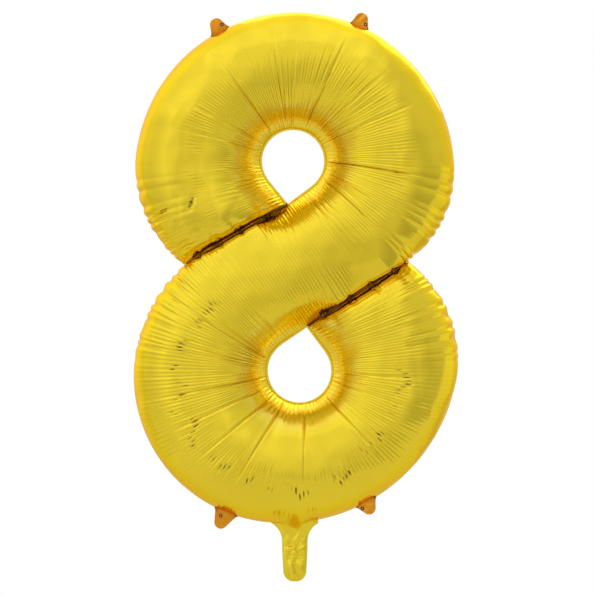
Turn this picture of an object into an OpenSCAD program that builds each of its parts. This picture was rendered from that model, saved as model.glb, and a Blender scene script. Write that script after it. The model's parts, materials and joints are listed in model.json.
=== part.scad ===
// Foil number balloon in the shape of a figure eight.
// X is the width, Y the depth (the front faces -Y), Z points up.
// The origin is the middle of the overall box, tail and tabs included.

/* [Figure] */
// Height of the inflated figure, without tabs and tail
figure_h = 860; // [600:10:1000]
// Depth of the inflated tube, front to back
tube_depth = 170; // [120:5:200]

/* [Foil and welds] */
// Thickness that stands in for one foil skin
foil_t = 0.6; // [0.4:0.1:1.0]
// Thickness of the flat welded bands, both skins together
band_t = 0.6; // [0.4:0.1:0.8]
// Width of the flat seam round the outside
outer_seam_w = 5; // [4:0.5:8]
// Width of the flat seam round each eye
eye_seam_w = 4; // [3:0.5:6]
// Width of the straight weld at each side of the waist
waist_weld_w = 6; // [5:0.5:10]

/* [Hanging tabs] */
// Width of the top left tab where it joins the seam; the others are in proportion
tab_w = 31; // [30:1:36]
// Length of the top left tab, root to tip
tab_l = 22; // [21:1:26]
// Radius of the rounded tips
tab_tip_r = 11; // [9:0.5:11]
// Radius of the punched hanging holes
eyelet_r = 2; // [1:0.25:2.25]

/* [Tail and valve] */
// Width of the filling tail
tail_w = 43; // [34:1:50]
// Length of the tail below its fold
tail_l = 63; // [50:1:90]
// Radius of the filling hole in the tail's back layer
inlet_r = 5; // [3:0.5:7]
// Width of the two valve films
valve_w = 30; // [20:1:32]
// Reach of the valve films into the chamber, above the fold
valve_l = 130; // [80:5:160]

/* [Hidden] */
$fn = 96;

gold = [0.90, 0.74, 0.12];
deep_gold = [0.80, 0.58, 0.10];
tab_gold = [0.86, 0.56, 0.12];
clear_film = [0.85, 0.87, 0.88];

k = figure_h / 860;

// Upper lobe: a wide arc over the top and one tangent arc down each side.
top_c = k * [-2, 210];
top_r = k * 269;
top_left_join = 176;
top_left_r = k * 201;
top_right_join = -2;
top_right_r = k * 178;
// Lower lobe: a wide arc under the right half and one tangent arc up each side.
low_c = k * [-20, -87];
low_r = k * 295;
low_left_join = 263;
low_left_r = k * 248;
low_right_join = 351;
low_right_r = k * 196;
// Eyes: a round hole drawn out to a point on the side of its waist weld.
up_eye_c = k * [-5, 228];
up_eye_r = k * 52.5;
up_eye_point = 263;
lo_eye_c = k * [6, -125];
lo_eye_r = k * 53.5;
lo_eye_point = 80.5;
eye_reach = 1.38; // point distance over eye radius

// Plane helpers
function polar(c, r, a) = c + r * [cos(a), sin(a)];
function angle(c, p) = atan2(p[1] - c[1], p[0] - c[0]);
function full(a) = a < 0 ? a + 360 : a;
function unit(v) = v / norm(v);
function left_of(v) = [-v[1], v[0]];
function cross2(u, v) = u[0] * v[1] - u[1] * v[0];
function mix(p, q, f) = p + (q - p) * f;
// Points along an arc or a line, the end point left out
function arc(c, r, a0, a1, n) = [for (i = [0:n - 1]) polar(c, r, a0 + (a1 - a0) * i / n)];
function line(p, q, n) = [for (i = [0:n - 1]) mix(p, q, i / n)];
// Where the line p + u meets the line q + v
function meet(p, u, q, v) = p + u * cross2(q - p, v) / cross2(u, v);
// Where two circles cross: side 1 is left of the line between centres, -1 is right
function circles_meet(c1, r1, c2, r2, side) =
    let (d = norm(c2 - c1), a = (r1 * r1 - r2 * r2 + d * d) / (2 * d), e = unit(c2 - c1))
    c1 + a * e + side * sqrt(r1 * r1 - a * a) * left_of(e);
// Where the line p + u leaves a circle, going along u
function line_leaves(p, u, c, r) =
    let (e = unit(u), m = (c - p) * e, off = norm(c - p - m * e))
    p + (m + sqrt(r * r - off * off)) * e;

top_left_c = polar(top_c, top_r - top_left_r, top_left_join);
top_right_c = polar(top_c, top_r - top_right_r, top_right_join);
low_left_c = polar(low_c, low_r - low_left_r, low_left_join);
low_right_c = polar(low_c, low_r - low_right_r, low_right_join);

function left_notch(inset) =
    circles_meet(top_left_c, top_left_r - inset, low_left_c, low_left_r - inset, -1);
function right_notch(inset) =
    circles_meet(top_right_c, top_right_r - inset, low_right_c, low_right_r - inset, 1);

// The outline of the whole figure, moved inwards by inset
function outline(inset) =
    let (nl = left_notch(inset), nr = right_notch(inset)) concat(
        arc(top_left_c, top_left_r - inset, full(angle(top_left_c, nl)), top_left_join, 12),
        arc(top_c, top_r - inset, top_left_join, top_right_join, 44),
        arc(top_right_c, top_right_r - inset, top_right_join, angle(top_right_c, nr), 12),
        arc(low_right_c, low_right_r - inset, angle(low_right_c, nr), low_right_join - 360, 12),
        arc(low_c, low_r - inset, low_right_join, low_left_join, 22),
        arc(low_left_c, low_left_r - inset, low_left_join, full(angle(low_left_c, nl)), 36));

// Eye outlines: half the angle between the two tangents' touching points
eye_spread = acos(1 / eye_reach);
function eye_tip(c, r, a) = polar(c, r * eye_reach, a);
function eye_outline(c, r, a) =
    concat([eye_tip(c, r, a)], arc(c, r, a + eye_spread, a + 360 - eye_spread, 48),
           [polar(c, r, a + 360 - eye_spread)]);

up_r = up_eye_r + eye_seam_w;
lo_r = lo_eye_r + eye_seam_w;
up_tip = eye_tip(up_eye_c, up_r, up_eye_point);
lo_tip = eye_tip(lo_eye_c, lo_r, lo_eye_point);
up_left_touch = polar(up_eye_c, up_r, up_eye_point - eye_spread);
up_right_touch = polar(up_eye_c, up_r, up_eye_point + eye_spread);
lo_left_touch = polar(lo_eye_c, lo_r, lo_eye_point + eye_spread);
lo_right_touch = polar(lo_eye_c, lo_r, lo_eye_point - eye_spread);

// Waist welds: each runs from a notch to the point of an eye.
up_weld_start = left_notch(0);
up_weld_dir = unit(eye_tip(up_eye_c, up_eye_r, up_eye_point) - up_weld_start);
lo_weld_start = right_notch(0);
lo_weld_dir = unit(eye_tip(lo_eye_c, lo_eye_r, lo_eye_point) - lo_weld_start);
half_weld = waist_weld_w / 2;
// The two edges of each weld: beside the tube's closed end, and beside the diagonal
up_end_edge = up_weld_start + half_weld * left_of(up_weld_dir);
up_diag_edge = up_weld_start - half_weld * left_of(up_weld_dir);
lo_end_edge = lo_weld_start + half_weld * left_of(lo_weld_dir);
lo_diag_edge = lo_weld_start - half_weld * left_of(lo_weld_dir);

// Corners of the inflated tube where the welds meet the seams. Its closed ends run across a lobe's
// edge, and its diagonal leaves the edge at a tangent.
skin_inset = outer_seam_w;
a_start = line_leaves(up_end_edge, -up_weld_dir, top_left_c, top_left_r - skin_inset);
b_start = meet(up_end_edge, up_weld_dir, up_tip, up_left_touch - up_tip);
b_tip = meet(up_diag_edge, up_weld_dir, up_tip, up_right_touch - up_tip);
b_notch = polar(low_left_c, low_left_r - skin_inset, angle(low_left_c, left_notch(0)));
a_notch = polar(top_right_c, top_right_r - skin_inset, angle(top_right_c, right_notch(0)));
a_tip = meet(lo_diag_edge, lo_weld_dir, lo_tip, lo_left_touch - lo_tip);
a_end = meet(lo_end_edge, lo_weld_dir, lo_tip, lo_right_touch - lo_tip);
b_end = line_leaves(lo_end_edge, -lo_weld_dir, low_right_c, low_right_r - skin_inset);

// The tube runs as one S: over the upper eye, down the diagonal, under the lower eye.
// Steps along it: start, over the top, right shoulder, diagonal 1 to 3, left hip, bottom, end.
n_start = 9;
n_top = 26;
n_side = 8;
n_diag = 7;
n_mid = 4;
diag_split = 0.58; // share of the weld beside the first diagonal stretch
shoulder = 28;     // degrees of eye that the shoulder or hip stretch covers

edge_a = concat(
    arc(top_left_c, top_left_r - skin_inset, full(angle(top_left_c, a_start)), top_left_join, n_start),
    arc(top_c, top_r - skin_inset, top_left_join, top_right_join, n_top),
    arc(top_right_c, top_right_r - skin_inset, top_right_join, angle(top_right_c, a_notch), n_side),
    line(a_notch, mix(a_notch, a_tip, diag_split), n_diag),
    line(mix(a_notch, a_tip, diag_split), a_tip, n_mid),
    line(a_tip, lo_left_touch, n_diag - 2),
    arc(lo_eye_c, lo_r, lo_eye_point + eye_spread, 180 - shoulder, 2),
    arc(lo_eye_c, lo_r, 180 - shoulder, 180, n_side),
    arc(lo_eye_c, lo_r, 180, 358, n_top),
    arc(lo_eye_c, lo_r, 358, 360 + lo_eye_point - eye_spread, n_start - 5),
    line(lo_right_touch, a_end, 5),
    [a_end]);
edge_b = concat(
    line(b_start, up_left_touch, 5),
    arc(up_eye_c, up_r, up_eye_point - eye_spread, 178, n_start - 5),
    arc(up_eye_c, up_r, 178, 0, n_top),
    arc(up_eye_c, up_r, 0, -shoulder, n_side),
    arc(up_eye_c, up_r, -shoulder, up_eye_point + eye_spread - 360, 2),
    line(up_right_touch, b_tip, n_diag - 2),
    line(b_tip, mix(b_tip, b_notch, 1 - diag_split), n_mid),
    line(mix(b_tip, b_notch, 1 - diag_split), b_notch, n_diag),
    arc(low_left_c, low_left_r - skin_inset, full(angle(low_left_c, b_notch)), 180, n_side),
    arc(low_left_c, low_left_r - skin_inset, 180, low_left_join, 12),
    arc(low_c, low_r - skin_inset, low_left_join, low_right_join, n_top - 12),
    arc(low_right_c, low_right_r - skin_inset, low_right_join - 360, angle(low_right_c, b_end), n_start),
    [b_end]);
n_along = len(edge_a) - 1;
n_across = 12;

// The tube closes like a pillow at each end, over end_steps of the steps along it.
end_steps = 7;
function end_rise(i) = let (f = min(1, min(i, n_along - i) / end_steps)) sqrt(1 - (1 - f) * (1 - f));
half_band = band_t / 2;
crown = tube_depth / 2 - half_band;
rim = 1.2; // width of the skin's edge on the seam

function skin_point(i, j, edge_in, height) =
    let (a = edge_a[i], b = edge_b[i], e = unit(b - a), turn = 180 * j / n_across,
         p = mix(a + edge_in * e, b - edge_in * e, (1 - cos(turn)) / 2))
    [p[0], -half_band - height * end_rise(i) * sin(turn), p[1]];
function inner_point(i, j) =
    i == 0 ? mix(skin_point(0, j, rim, 0), skin_point(1, j, rim, 0), 0.1) :
    i == n_along ? mix(skin_point(i, j, rim, 0), skin_point(i - 1, j, rim, 0), 0.1) :
    skin_point(i, j, rim, crown - foil_t);

n_row = n_across + 1;
n_skin = (n_along + 1) * n_row;
function at(i, j, inner) = inner * n_skin + i * n_row + j;
function quad(a, b, c, d) = [[a, c, b], [a, d, c]];
function each_face(quads) = [for (q = quads, f = q) f];

module front_skin() {
    points = concat(
        [for (i = [0:n_along], j = [0:n_across]) skin_point(i, j, 0, crown)],
        [for (i = [0:n_along], j = [0:n_across]) inner_point(i, j)]);
    outer = [for (i = [0:n_along - 1], j = [0:n_across - 1])
        quad(at(i, j, 0), at(i, j + 1, 0), at(i + 1, j + 1, 0), at(i + 1, j, 0))];
    inner = [for (i = [0:n_along - 1], j = [0:n_across - 1])
        quad(at(i, j, 1), at(i + 1, j, 1), at(i + 1, j + 1, 1), at(i, j + 1, 1))];
    edges = [for (i = [0:n_along - 1]) each [
        quad(at(i, 0, 0), at(i + 1, 0, 0), at(i + 1, 0, 1), at(i, 0, 1)),
        quad(at(i, n_across, 1), at(i + 1, n_across, 1), at(i + 1, n_across, 0), at(i, n_across, 0))]];
    ends = [for (j = [0:n_across - 1]) each [
        quad(at(0, j, 1), at(0, j + 1, 1), at(0, j + 1, 0), at(0, j, 0)),
        quad(at(n_along, j, 0), at(n_along, j + 1, 0), at(n_along, j + 1, 1), at(n_along, j, 1))]];
    polyhedron(points, each_face(concat(outer, inner, edges, ends)), convexity = 12);
}

// Flat bands are drawn in the X-Z plane and given their thickness along Y.
module flat(y0, y1) {
    translate([0, y1, 0]) rotate([90, 0, 0]) linear_extrude(y1 - y0, convexity = 8) children();
}

lip = 2; // how far a flat seam or weld reaches under the skins' edges

module seam_ring_2d() {
    difference() {
        polygon(outline(0));
        polygon(outline(outer_seam_w + lip));
    }
}

module eye_ring_2d(c, r, a) {
    difference() {
        polygon(eye_outline(c, r + eye_seam_w + lip, a));
        polygon(eye_outline(c, r, a));
    }
}

module waist_strip_2d(start, dir, tip) {
    reach = norm(tip - start);
    half_strip = half_weld + lip;
    side = half_strip * left_of(dir);
    difference() {
        polygon([start - side, start + side, start + reach * dir + side, start + reach * dir - side]);
        polygon(eye_outline(up_eye_c, up_eye_r + eye_seam_w + lip, up_eye_point));
        polygon(eye_outline(lo_eye_c, lo_eye_r + eye_seam_w + lip, lo_eye_point));
        difference() {
            square(2 * figure_h, center = true);
            polygon(outline(outer_seam_w + lip));
        }
    }
}

// Filling neck and tail
tail_x = k * -2;
fold_z = k * -417;
fold_gap = 0.8;      // half the gap at the fold line
flare_r = 22;        // fillet between the neck and the figure
flare_turn = 78;     // degrees that the fillet turns before it meets the figure
flare_steps = 12;
side_weld_w = 5;
tail_corner_r = 17;
corner_steps = 12;
layer_t = 0.3;
film_t = 0.2;
film_y = 0.05;       // half the gap between the two films
film_play = 0.3;     // free room for the films' sides in the outer seam
neck_top_z = k * -400;
neck_overlap = 0.4;  // how far the neck laps over the skins' edge of the seam

module neck_2d() {
    half_w = tail_w / 2;
    right = [for (s = [0:flare_steps]) let (turn = flare_turn * s / flare_steps)
        [half_w + flare_r, neck_top_z] + flare_r * [-cos(turn), sin(turn)]];
    left = [for (s = [flare_steps:-1:0]) [-right[s][0], right[s][1]]];
    top = neck_top_z + 3 * flare_r;
    translate([tail_x, 0]) difference() {
        polygon(concat([[half_w, fold_z + fold_gap]], right,
                       [[right[flare_steps][0], top], [left[0][0], top]],
                       left, [[-half_w, fold_z + fold_gap]]));
        translate([-tail_x, 0]) children();
    }
}

module tail_2d(inset) {
    half_w = tail_w / 2 - inset;
    corner_r = tail_corner_r - inset;
    top = fold_z - fold_gap;
    bottom = fold_z - tail_l + inset;
    right = [for (s = [corner_steps:-1:0]) let (turn = 90 * s / corner_steps)
        [half_w - corner_r, bottom + corner_r] + corner_r * [cos(turn), -sin(turn)]];
    left = [for (s = [corner_steps:-1:0]) [-right[s][0], right[s][1]]];
    translate([tail_x, 0]) polygon(concat([[-half_w, top]], left, right, [[half_w, top]]));
}

module channel_2d() {
    half_w = tail_w / 2 - side_weld_w;
    translate([tail_x - half_w, fold_z - tail_l]) square([2 * half_w, 4 * tail_l]);
}

module neck_layer() {
    flat(-half_band - layer_t, -half_band) neck_2d() polygon(outline(outer_seam_w - neck_overlap));
    flat(-half_band, 0) difference() {
        neck_2d() polygon(outline(0));
        channel_2d();
    }
}

module tail_layer() {
    flat(-half_band - layer_t, -half_band) tail_2d(0);
    flat(-half_band, 0) difference() {
        tail_2d(0);
        tail_2d(side_weld_w);
        translate([tail_x - tail_w / 2 + side_weld_w, fold_z - 2 * fold_gap])
            square([tail_w - 2 * side_weld_w, 2 * fold_gap]);
    }
}

module valve_film() {
    flat(film_y, film_y + film_t)
        translate([tail_x - valve_w / 2, fold_z + fold_gap]) square([valve_w, valve_l]);
}

// Hanging tabs. Each: the angle at which it stands on its arc of the outline, the arc's centre and
// radius, its width and length, how far its tip leans sideways, and where its hanging hole is from
// the middle of its root.
tab_gap = 1;         // free gap between tab and seam, its fold line in the middle
tab_tip_steps = 16;
tab_specs = [
    [118, top_c, top_r, tab_w, tab_l, 0, [8.5, 7]],
    [66, top_c, top_r, 0.97 * tab_w, 0.98 * tab_l, -2, [8, 5.5]],
    [248.1, low_left_c, low_left_r, 1.2 * tab_w, 1.3 * tab_l, 1.5, [6, 7]],
    [298, low_c, low_r, 1.1 * tab_w, 0.92 * tab_l, 0, [10.5, 4.5]]];

function touch(p, c, r, side) =
    let (d = norm(c - p)) polar(c, r, angle(c, p) + side * acos(r / d));

module tab(spec) {
    tip = [spec[5], spec[4] - tab_tip_r];
    right_root = [spec[3] / 2, 0];
    left_root = [-spec[3] / 2, 0];
    right_touch = touch(right_root, tip, tab_tip_r, 1);
    left_touch = touch(left_root, tip, tab_tip_r, -1);
    a0 = angle(tip, right_touch);
    a1 = full(angle(tip, left_touch));
    root = polar(spec[1], spec[2] + tab_gap, spec[0]);
    translate([root[0], 0, root[1]]) rotate([0, 90 - spec[0], 0]) difference() {
        flat(-half_band, half_band)
            polygon(concat([left_root, right_root], arc(tip, tab_tip_r, a0, a1, tab_tip_steps),
                           [left_touch]));
        translate([spec[6][0], 0, spec[6][1]]) rotate([90, 0, 0])
            cylinder(r = eyelet_r, h = 4, center = true);
    }
}

module front_panel() { color(gold) front_skin(); }
module back_panel() { color(gold) mirror([0, 1, 0]) front_skin(); }

module outer_seam() {
    color(deep_gold) flat(-half_band, half_band) difference() {
        seam_ring_2d();
        translate([tail_x - valve_w / 2 - film_play, low_c[1] - low_r - flare_r])
            square([valve_w + 2 * film_play, 3 * flare_r]);
    }
}

module upper_eye_seam() {
    color(deep_gold) flat(-half_band, half_band) eye_ring_2d(up_eye_c, up_eye_r, up_eye_point);
}

module lower_eye_seam() {
    color(deep_gold) flat(-half_band, half_band) eye_ring_2d(lo_eye_c, lo_eye_r, lo_eye_point);
}

module upper_waist_weld() {
    color(deep_gold) flat(-half_band, half_band) waist_strip_2d(up_weld_start, up_weld_dir, up_tip);
}

module lower_waist_weld() {
    color(deep_gold) flat(-half_band, half_band) waist_strip_2d(lo_weld_start, lo_weld_dir, lo_tip);
}

module neck_front_layer() { color(gold) neck_layer(); }
module neck_back_layer() { color(gold) mirror([0, 1, 0]) neck_layer(); }
module tail_front_layer() { color(gold) tail_layer(); }

module tail_back_layer() {
    color(gold) difference() {
        mirror([0, 1, 0]) tail_layer();
        translate([tail_x, 0, fold_z - tail_l / 2]) rotate([-90, 0, 0]) cylinder(r = inlet_r, h = 4);
    }
}

module valve_front_film() { color(clear_film) mirror([0, 1, 0]) valve_film(); }
module valve_back_film() { color(clear_film) valve_film(); }
module tab_top_left() { color(tab_gold) tab(tab_specs[0]); }
module tab_top_right() { color(tab_gold) tab(tab_specs[1]); }
module tab_bottom_left() { color(tab_gold) tab(tab_specs[2]); }
module tab_bottom_right() { color(tab_gold) tab(tab_specs[3]); }

front_panel();
back_panel();
outer_seam();
upper_eye_seam();
lower_eye_seam();
upper_waist_weld();
lower_waist_weld();
neck_front_layer();
neck_back_layer();
tail_front_layer();
tail_back_layer();
valve_front_film();
valve_back_film();
tab_top_left();
tab_top_right();
tab_bottom_left();
tab_bottom_right();
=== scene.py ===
"""Foil number balloon: the visual model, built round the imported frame."""

import json
import math
from collections import namedtuple

import bmesh
import bpy
import numpy as np
from mathutils import Matrix, Vector

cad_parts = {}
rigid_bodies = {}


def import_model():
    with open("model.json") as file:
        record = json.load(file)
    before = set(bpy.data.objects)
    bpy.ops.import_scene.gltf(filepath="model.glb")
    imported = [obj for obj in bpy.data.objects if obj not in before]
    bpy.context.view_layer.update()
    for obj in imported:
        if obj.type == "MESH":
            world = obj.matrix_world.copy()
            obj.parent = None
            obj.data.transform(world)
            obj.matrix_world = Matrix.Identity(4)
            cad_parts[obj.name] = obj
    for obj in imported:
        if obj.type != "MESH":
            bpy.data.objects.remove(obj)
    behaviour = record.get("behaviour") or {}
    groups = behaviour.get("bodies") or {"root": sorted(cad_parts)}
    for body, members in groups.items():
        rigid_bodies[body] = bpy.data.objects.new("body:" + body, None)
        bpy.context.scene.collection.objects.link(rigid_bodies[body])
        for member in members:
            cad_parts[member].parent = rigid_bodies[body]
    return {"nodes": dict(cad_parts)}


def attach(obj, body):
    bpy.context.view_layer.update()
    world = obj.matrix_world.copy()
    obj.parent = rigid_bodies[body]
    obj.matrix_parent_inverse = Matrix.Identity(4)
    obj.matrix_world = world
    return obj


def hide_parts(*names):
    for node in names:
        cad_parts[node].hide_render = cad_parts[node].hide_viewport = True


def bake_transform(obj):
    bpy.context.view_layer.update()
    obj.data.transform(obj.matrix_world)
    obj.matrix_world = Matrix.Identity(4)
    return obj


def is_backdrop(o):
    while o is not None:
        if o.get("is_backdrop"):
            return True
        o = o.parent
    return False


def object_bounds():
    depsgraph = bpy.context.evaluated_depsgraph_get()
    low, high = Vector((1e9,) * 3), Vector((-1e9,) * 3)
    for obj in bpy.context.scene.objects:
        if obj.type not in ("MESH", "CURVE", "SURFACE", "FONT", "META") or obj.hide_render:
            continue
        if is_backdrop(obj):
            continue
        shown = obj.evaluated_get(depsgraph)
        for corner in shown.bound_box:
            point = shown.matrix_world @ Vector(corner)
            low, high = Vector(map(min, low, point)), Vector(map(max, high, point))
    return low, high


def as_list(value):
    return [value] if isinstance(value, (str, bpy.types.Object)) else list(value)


bl_info = {
    "name": "Foil Number Balloon",
    "version": (1, 0, 0),
    "blender": (4, 5, 0),
    "location": "View3D > Sidebar > Foil Balloon",
    "description": "Builds a crinkled metallised foil balloon in the shape of a figure eight",
    "category": "Add Mesh",
}

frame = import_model()
CAD_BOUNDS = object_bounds()
MM = 0.001

# ---------------------------------------------------------------- outline, in millimetres
# Upper lobe: a wide arc over the top and one tangent arc down each side.
TOP_C, TOP_R = (-2.0, 210.0), 269.0
TOP_LEFT_JOIN, TOP_LEFT_R = 176.0, 201.0
TOP_RIGHT_JOIN, TOP_RIGHT_R = -2.0, 178.0
# Lower lobe: a wide arc under the right half and one tangent arc up each side.
LOW_C, LOW_R = (-20.0, -87.0), 295.0
LOW_LEFT_JOIN, LOW_LEFT_R = 263.0, 248.0
LOW_RIGHT_JOIN, LOW_RIGHT_R = 351.0, 196.0
# Eyes: a round hole drawn out to a point beside its waist weld.
UP_EYE_C, UP_EYE_R, UP_EYE_POINT = (-5.0, 228.0), 52.5, 263.0
LO_EYE_C, LO_EYE_R, LO_EYE_POINT = (6.0, -125.0), 53.5, 80.5
EYE_REACH = 1.38
EYE_SPREAD = math.degrees(math.acos(1 / EYE_REACH))

# Steps along the S-shaped tube: closed end, over the top, shoulder, diagonal, hip, bottom, closed end
N_START, N_TOP, N_SIDE, N_DIAG, N_MID = 9, 26, 8, 7, 4
N_STEPS = 2 * (N_START + N_TOP + N_SIDE + N_DIAG) + N_MID
# Of those, the steps straight beside a weld's end, straight beside an eye's point, and round the hip
N_BY_WELD, N_BY_POINT, N_HIP = 5, 2, 12
# Steps where edge a passes the right notch and the lower eye's point, and edge b the upper eye's
# point and the left notch
A_NOTCH = N_START + N_TOP + N_SIDE
B_TIP = A_NOTCH + N_DIAG
A_TIP = B_TIP + N_MID
B_NOTCH = A_TIP + N_DIAG
# Share of the diagonal, from its notch, where its middle part starts
DIAG_SPLIT = 0.58
# Degrees round each eye: where the tube starts to turn into the shoulder, and where its crown starts
SHOULDER, UP_CROWN, LO_CROWN = 28.0, 178, 358
# How far the joins between arcs and lines are rounded, in steps
ROUNDING = 0.5


# ---------------------------------------------------------------- plane geometry
def polar(centre, radius, degrees):
    angle = np.radians(degrees)
    return np.stack([centre[0] + radius * np.cos(angle), centre[1] + radius * np.sin(angle)], -1)


def angle_of(centre, point):
    return math.degrees(math.atan2(point[1] - centre[1], point[0] - centre[0]))


def full_turn(degrees):
    return degrees + 360 if degrees < 0 else degrees


def arc(centre, radius, start, end, count):
    """Points along an arc, the end point left out."""
    return polar(centre, radius, start + (end - start) * np.arange(count) / count)


def line(start, end, count):
    """Points along a line, the end point left out."""
    share = np.arange(count)[:, None] / count
    return np.asarray(start) + (np.asarray(end) - np.asarray(start)) * share


def unit(v):
    return np.asarray(v, float) / np.linalg.norm(v)


def left_of(v):
    return np.array([-v[1], v[0]])


def cross2(a, b):
    return a[0] * b[1] - a[1] * b[0]


def meet(p, u, q, v):
    """Where the line through p along u meets the line through q along v."""
    return p + u * cross2(q - p, v) / cross2(u, v)


def circles_meet(c1, r1, c2, r2, side):
    """Where two circles cross, to the left (1) or right (-1) of the way from the first."""
    c1, c2 = np.asarray(c1, float), np.asarray(c2, float)
    gap = np.linalg.norm(c2 - c1)
    along = (r1 * r1 - r2 * r2 + gap * gap) / (2 * gap)
    e = unit(c2 - c1)
    return c1 + along * e + side * math.sqrt(r1 * r1 - along * along) * left_of(e)


def line_leaves(p, u, centre, radius):
    """Where the line through p leaves a circle, going along u."""
    e = unit(u)
    to_centre = np.asarray(centre) - p
    middle = to_centre @ e
    off = np.linalg.norm(to_centre - middle * e)
    return p + (middle + math.sqrt(radius * radius - off * off)) * e


TOP_LEFT_C = polar(TOP_C, TOP_R - TOP_LEFT_R, TOP_LEFT_JOIN)
TOP_RIGHT_C = polar(TOP_C, TOP_R - TOP_RIGHT_R, TOP_RIGHT_JOIN)
LOW_LEFT_C = polar(LOW_C, LOW_R - LOW_LEFT_R, LOW_LEFT_JOIN)
LOW_RIGHT_C = polar(LOW_C, LOW_R - LOW_RIGHT_R, LOW_RIGHT_JOIN)
LEFT_NOTCH = circles_meet(TOP_LEFT_C, TOP_LEFT_R, LOW_LEFT_C, LOW_LEFT_R, -1)
RIGHT_NOTCH = circles_meet(TOP_RIGHT_C, TOP_RIGHT_R, LOW_RIGHT_C, LOW_RIGHT_R, 1)
UP_WELD_DIR = unit(polar(UP_EYE_C, UP_EYE_R * EYE_REACH, UP_EYE_POINT) - LEFT_NOTCH)
LO_WELD_DIR = unit(polar(LO_EYE_C, LO_EYE_R * EYE_REACH, LO_EYE_POINT) - RIGHT_NOTCH)


def tube_edges(rim, eye_rim, half_weld, fine):
    """The tube's two edges as matching point rows, fine points to a step.

    rim, eye_rim and half_weld are how far the edges stay from the outline, the eyes and the welds.
    """
    n = fine
    up_r, lo_r = UP_EYE_R + eye_rim, LO_EYE_R + eye_rim
    up_tip = polar(UP_EYE_C, up_r * EYE_REACH, UP_EYE_POINT)
    lo_tip = polar(LO_EYE_C, lo_r * EYE_REACH, LO_EYE_POINT)
    up_left = polar(UP_EYE_C, up_r, UP_EYE_POINT - EYE_SPREAD)
    up_right = polar(UP_EYE_C, up_r, UP_EYE_POINT + EYE_SPREAD)
    lo_left = polar(LO_EYE_C, lo_r, LO_EYE_POINT + EYE_SPREAD)
    lo_right = polar(LO_EYE_C, lo_r, LO_EYE_POINT - EYE_SPREAD)
    up_end = LEFT_NOTCH + half_weld * left_of(UP_WELD_DIR)
    lo_end = RIGHT_NOTCH + half_weld * left_of(LO_WELD_DIR)
    a_start = line_leaves(up_end, -UP_WELD_DIR, TOP_LEFT_C, TOP_LEFT_R - rim)
    b_start = meet(up_end, UP_WELD_DIR, up_tip, up_left - up_tip)
    beside = max(half_weld, 0.7 * eye_rim)
    b_tip = polar(UP_EYE_C, UP_EYE_R * EYE_REACH, UP_EYE_POINT) - beside * left_of(UP_WELD_DIR)
    b_notch = polar(LOW_LEFT_C, LOW_LEFT_R - rim, angle_of(LOW_LEFT_C, LEFT_NOTCH))
    a_notch = polar(TOP_RIGHT_C, TOP_RIGHT_R - rim, angle_of(TOP_RIGHT_C, RIGHT_NOTCH))
    a_tip = polar(LO_EYE_C, LO_EYE_R * EYE_REACH, LO_EYE_POINT) - beside * left_of(LO_WELD_DIR)
    a_end = meet(lo_end, LO_WELD_DIR, lo_tip, lo_right - lo_tip)
    b_end = line_leaves(lo_end, -LO_WELD_DIR, LOW_RIGHT_C, LOW_RIGHT_R - rim)
    a_mid = a_notch + DIAG_SPLIT * (a_tip - a_notch)
    b_mid = b_tip + (1 - DIAG_SPLIT) * (b_notch - b_tip)
    edge_a = np.concatenate([
        arc(TOP_LEFT_C, TOP_LEFT_R - rim, full_turn(angle_of(TOP_LEFT_C, a_start)), TOP_LEFT_JOIN,
            N_START * n),
        arc(TOP_C, TOP_R - rim, TOP_LEFT_JOIN, TOP_RIGHT_JOIN, N_TOP * n),
        arc(TOP_RIGHT_C, TOP_RIGHT_R - rim, TOP_RIGHT_JOIN, angle_of(TOP_RIGHT_C, a_notch),
            N_SIDE * n),
        line(a_notch, a_mid, N_DIAG * n),
        line(a_mid, a_tip, N_MID * n),
        line(a_tip, lo_left, (N_DIAG - N_BY_POINT) * n),
        arc(LO_EYE_C, lo_r, LO_EYE_POINT + EYE_SPREAD, 180 - SHOULDER, N_BY_POINT * n),
        arc(LO_EYE_C, lo_r, 180 - SHOULDER, 180, N_SIDE * n),
        arc(LO_EYE_C, lo_r, 180, LO_CROWN, N_TOP * n),
        arc(LO_EYE_C, lo_r, LO_CROWN, 360 + LO_EYE_POINT - EYE_SPREAD,
            (N_START - N_BY_WELD) * n),
        line(lo_right, a_end, N_BY_WELD * n),
        a_end[None]])
    edge_b = np.concatenate([
        line(b_start, up_left, N_BY_WELD * n),
        arc(UP_EYE_C, up_r, UP_EYE_POINT - EYE_SPREAD, UP_CROWN, (N_START - N_BY_WELD) * n),
        arc(UP_EYE_C, up_r, UP_CROWN, 0, N_TOP * n),
        arc(UP_EYE_C, up_r, 0, -SHOULDER, N_SIDE * n),
        arc(UP_EYE_C, up_r, -SHOULDER, UP_EYE_POINT + EYE_SPREAD - 360, N_BY_POINT * n),
        line(up_right, b_tip, (N_DIAG - N_BY_POINT) * n),
        line(b_tip, b_mid, N_MID * n),
        line(b_mid, b_notch, N_DIAG * n),
        arc(LOW_LEFT_C, LOW_LEFT_R - rim, full_turn(angle_of(LOW_LEFT_C, b_notch)), 180,
            N_SIDE * n),
        arc(LOW_LEFT_C, LOW_LEFT_R - rim, 180, LOW_LEFT_JOIN, N_HIP * n),
        arc(LOW_C, LOW_R - rim, LOW_LEFT_JOIN, LOW_RIGHT_JOIN, (N_TOP - N_HIP) * n),
        arc(LOW_RIGHT_C, LOW_RIGHT_R - rim, LOW_RIGHT_JOIN - 360, angle_of(LOW_RIGHT_C, b_end),
            N_START * n),
        b_end[None]])
    return smoothed(edge_a, ROUNDING * n), smoothed(edge_b, ROUNDING * n)


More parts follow.
